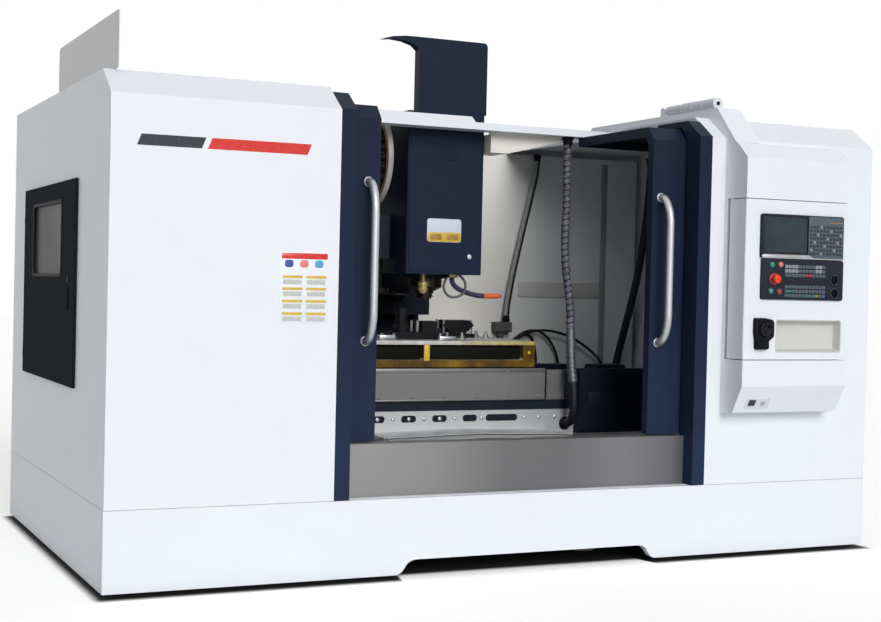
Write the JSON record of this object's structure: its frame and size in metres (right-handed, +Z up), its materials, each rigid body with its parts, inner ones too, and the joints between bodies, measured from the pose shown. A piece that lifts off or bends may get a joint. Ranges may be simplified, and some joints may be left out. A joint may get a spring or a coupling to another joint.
{
  "type": "cnc machining center",
  "caption": "Vertical machining center in a full splash enclosure with sliding doors, cross table, spindle head, tool changer and swivelling operator box.",
  "frame": {"origin": "on the floor, below the middle of the machine's bounding box", "axes": "+X to the operator's right along the front, +Y from the front to the rear, +Z up"},
  "size_m": [4.128, 3.26, 2.69],
  "materials": {
    "white paint": "satin",
    "cream paint": "satin",
    "navy paint": "satin",
    "grey paint": "satin",
    "slate paint": "satin",
    "stainless sheet": "brushed",
    "steel": "ground",
    "dark steel": "oiled",
    "casting": "painted casting",
    "machined iron": "machined, oiled",
    "polished tube": "satin",
    "clear pane": "clear",
    "hose rubber": "matt",
    "black plastic": "matt",
    "red plastic": "gloss",
    "green plastic": "gloss",
    "pale plastic": "gloss"
  },
  "bodies": {
    "machine": {"leveling_feet": "steel", "bed": "casting", "column": "casting", "chip_pan": "stainless sheet", "skirt_front": "white paint", "skirt_sides": "white paint", "front_panel_left": "white paint", "front_panel_right": "white paint", "side_panels": "white paint", "roof_panels": "white paint", "rear_panels": "white paint", "portal_frame": "navy paint", "header_beam": "white paint", "sill_apron": "stainless sheet", "splash_walls": "white paint", "work_lamp": "cream paint", "roof_duct": "white paint", "roof_guard": "grey paint", "console_frame": "white paint", "electrical_cabinet": "white paint", "coolant_tank": "grey paint", "wall_hoses": "hose rubber", "saddle_hose": "hose rubber", "magazine_carrier": "grey paint"},
    "left_door": {"left_door_panel": "navy paint", "left_door_window": "clear pane", "left_door_handle": "polished tube"},
    "right_door": {"right_door_panel": "navy paint", "right_door_window": "clear pane", "right_door_handle": "polished tube"},
    "side_door": {"side_door_panel": "slate paint", "side_door_window": "clear pane"},
    "saddle": {"saddle": "navy paint", "saddle_guards": "stainless sheet"},
    "way_cover_1": {"way_cover_1": "stainless sheet"},
    "way_cover_2": {"way_cover_2": "stainless sheet"},
    "way_cover_3": {"way_cover_3": "stainless sheet"},
    "table": {"table": "machined iron", "fixture_blocks": "dark steel"},
    "head": {"head_casting": "casting", "head_cover": "navy paint", "motor_shield": "navy paint"},
    "spindle": {"spindle": "steel"},
    "magazine": {"magazine_disc": "grey paint"},
    "change_arm": {"change_arm": "steel"},
    "console": {"console_box": "white paint", "control_panels": "black plastic"},
    "emergency_stop": {"emergency_stop": "red plastic"},
    "start_button": {"start_button": "green plastic"},
    "hold_button": {"hold_button": "red plastic"},
    "power_on_button": {"power_on_button": "green plastic"},
    "power_off_button": {"power_off_button": "red plastic"},
    "feed_knob": {"feed_knob": "black plastic"},
    "spindle_knob": {"spindle_knob": "black plastic"},
    "handwheel": {"handwheel": "black plastic"},
    "signal_lamp": {"signal_lamp": "pale plastic"},
    "cabinet_door": {"cabinet_door": "white paint"},
    "x_screw": {"x_screw": "steel"},
    "y_screw": {"y_screw": "steel"},
    "z_screw": {"z_screw": "steel"}
  },
  "joints": [
    {"name": "left_door_slide", "type": "slide", "parent": "machine", "child": "left_door", "axis": [1, 0, 0], "range_m": [0, 0.755]},
    {"name": "right_door_slide", "type": "slide", "parent": "machine", "child": "right_door", "axis": [-1, 0, 0], "range_m": [0, 0.735]},
    {"name": "side_door_hinge", "type": "hinge", "parent": "machine", "child": "side_door", "pos_m": [-2.058, 0.561, 0], "axis": [0, 0, -1], "range_deg": [0, 95]},
    {"name": "saddle_slide", "type": "slide", "parent": "machine", "child": "saddle", "axis": [0, 1, 0], "range_m": [-0.45, 0.45], "deforming": ["saddle_hose"]},
    {"name": "way_cover_1_slide", "type": "slide", "parent": "machine", "child": "way_cover_1", "axis": [0, 1, 0], "range_m": [-0.1125, 0.1125]},
    {"name": "way_cover_2_slide", "type": "slide", "parent": "machine", "child": "way_cover_2", "axis": [0, 1, 0], "range_m": [-0.225, 0.225]},
    {"name": "way_cover_3_slide", "type": "slide", "parent": "machine", "child": "way_cover_3", "axis": [0, 1, 0], "range_m": [-0.3375, 0.3375]},
    {"name": "table_slide", "type": "slide", "parent": "saddle", "child": "table", "axis": [1, 0, 0], "range_m": [-0.351, 1.249]},
    {"name": "head_slide", "type": "slide", "parent": "machine", "child": "head", "axis": [0, 0, 1], "range_m": [0, 0.7]},
    {"name": "spindle_turn", "type": "hinge", "parent": "head", "child": "spindle", "pos_m": [0, -0.13, 1.4], "axis": [0, 0, 1], "continuous": true},
    {"name": "magazine_turn", "type": "hinge", "parent": "machine", "child": "magazine", "pos_m": [-0.33, -0.13, 2.04], "axis": [1, 0, 0], "continuous": true},
    {"name": "arm_swing", "type": "hinge", "parent": "machine", "child": "change_arm", "pos_m": [-0.29, -0.13, 1.31], "axis": [0, 0, 1], "range_deg": [0, 90]},
    {"name": "console_swing", "type": "hinge", "parent": "machine", "child": "console", "pos_m": [1.108, -1.459, 1.43], "axis": [0, 0, -1], "range_deg": [0, 90]},
    {"name": "emergency_stop_press", "type": "slide", "parent": "console", "child": "emergency_stop", "axis": [0, 1, 0], "range_m": [0, 0.003]},
    {"name": "start_press", "type": "slide", "parent": "console", "child": "start_button", "axis": [0, 1, 0], "range_m": [0, 0.003], "stiffness_N_per_m": 500},
    {"name": "hold_press", "type": "slide", "parent": "console", "child": "hold_button", "axis": [0, 1, 0], "range_m": [0, 0.003], "stiffness_N_per_m": 500},
    {"name": "power_on_press", "type": "slide", "parent": "console", "child": "power_on_button", "axis": [0, 1, 0], "range_m": [0, 0.003], "stiffness_N_per_m": 500},
    {"name": "power_off_press", "type": "slide", "parent": "console", "child": "power_off_button", "axis": [0, 1, 0], "range_m": [0, 0.003], "stiffness_N_per_m": 500},
    {"name": "feed_knob_turn", "type": "hinge", "parent": "console", "child": "feed_knob", "pos_m": [1.652, -1.595, 1.437], "axis": [0, -1, 0], "range_deg": [-120, 120]},
    {"name": "spindle_knob_turn", "type": "hinge", "parent": "console", "child": "spindle_knob", "pos_m": [1.654, -1.595, 1.368], "axis": [0, -1, 0], "range_deg": [-120, 120]},
    {"name": "handwheel_turn", "type": "hinge", "parent": "console", "child": "handwheel", "pos_m": [1.212, -1.605, 1.178], "axis": [0, -1, 0], "continuous": true},
    {"name": "lamp_fold", "type": "hinge", "parent": "machine", "child": "signal_lamp", "pos_m": [1.16, -0.75, 2.347], "axis": [-1, 0, 0], "range_deg": [0, 90]},
    {"name": "cabinet_door_hinge", "type": "hinge", "parent": "machine", "child": "cabinet_door", "pos_m": [1.907, 1.481, 1.1], "axis": [0, 0, -1], "range_deg": [0, 110]},
    {"name": "x_screw_turn", "type": "hinge", "parent": "saddle", "child": "x_screw", "pos_m": [0, -0.15, 0.84], "axis": [1, 0, 0], "continuous": true},
    {"name": "y_screw_turn", "type": "hinge", "parent": "machine", "child": "y_screw", "pos_m": [0, 0, 0.508], "axis": [0, 1, 0], "continuous": true},
    {"name": "z_screw_turn", "type": "hinge", "parent": "machine", "child": "z_screw", "pos_m": [0, 0.89, 1.6], "axis": [0, 0, 1], "continuous": true}
  ],
  "couplings": [
    {"joint": "way_cover_1_slide", "follows": "saddle_slide", "ratio": 0.25},
    {"joint": "way_cover_2_slide", "follows": "saddle_slide", "ratio": 0.5},
    {"joint": "way_cover_3_slide", "follows": "saddle_slide", "ratio": 0.75},
    {"joint": "x_screw_turn", "follows": "table_slide", "rad_per_m": 523.6},
    {"joint": "y_screw_turn", "follows": "saddle_slide", "rad_per_m": 523.6},
    {"joint": "z_screw_turn", "follows": "head_slide", "rad_per_m": 523.6}
  ]
}
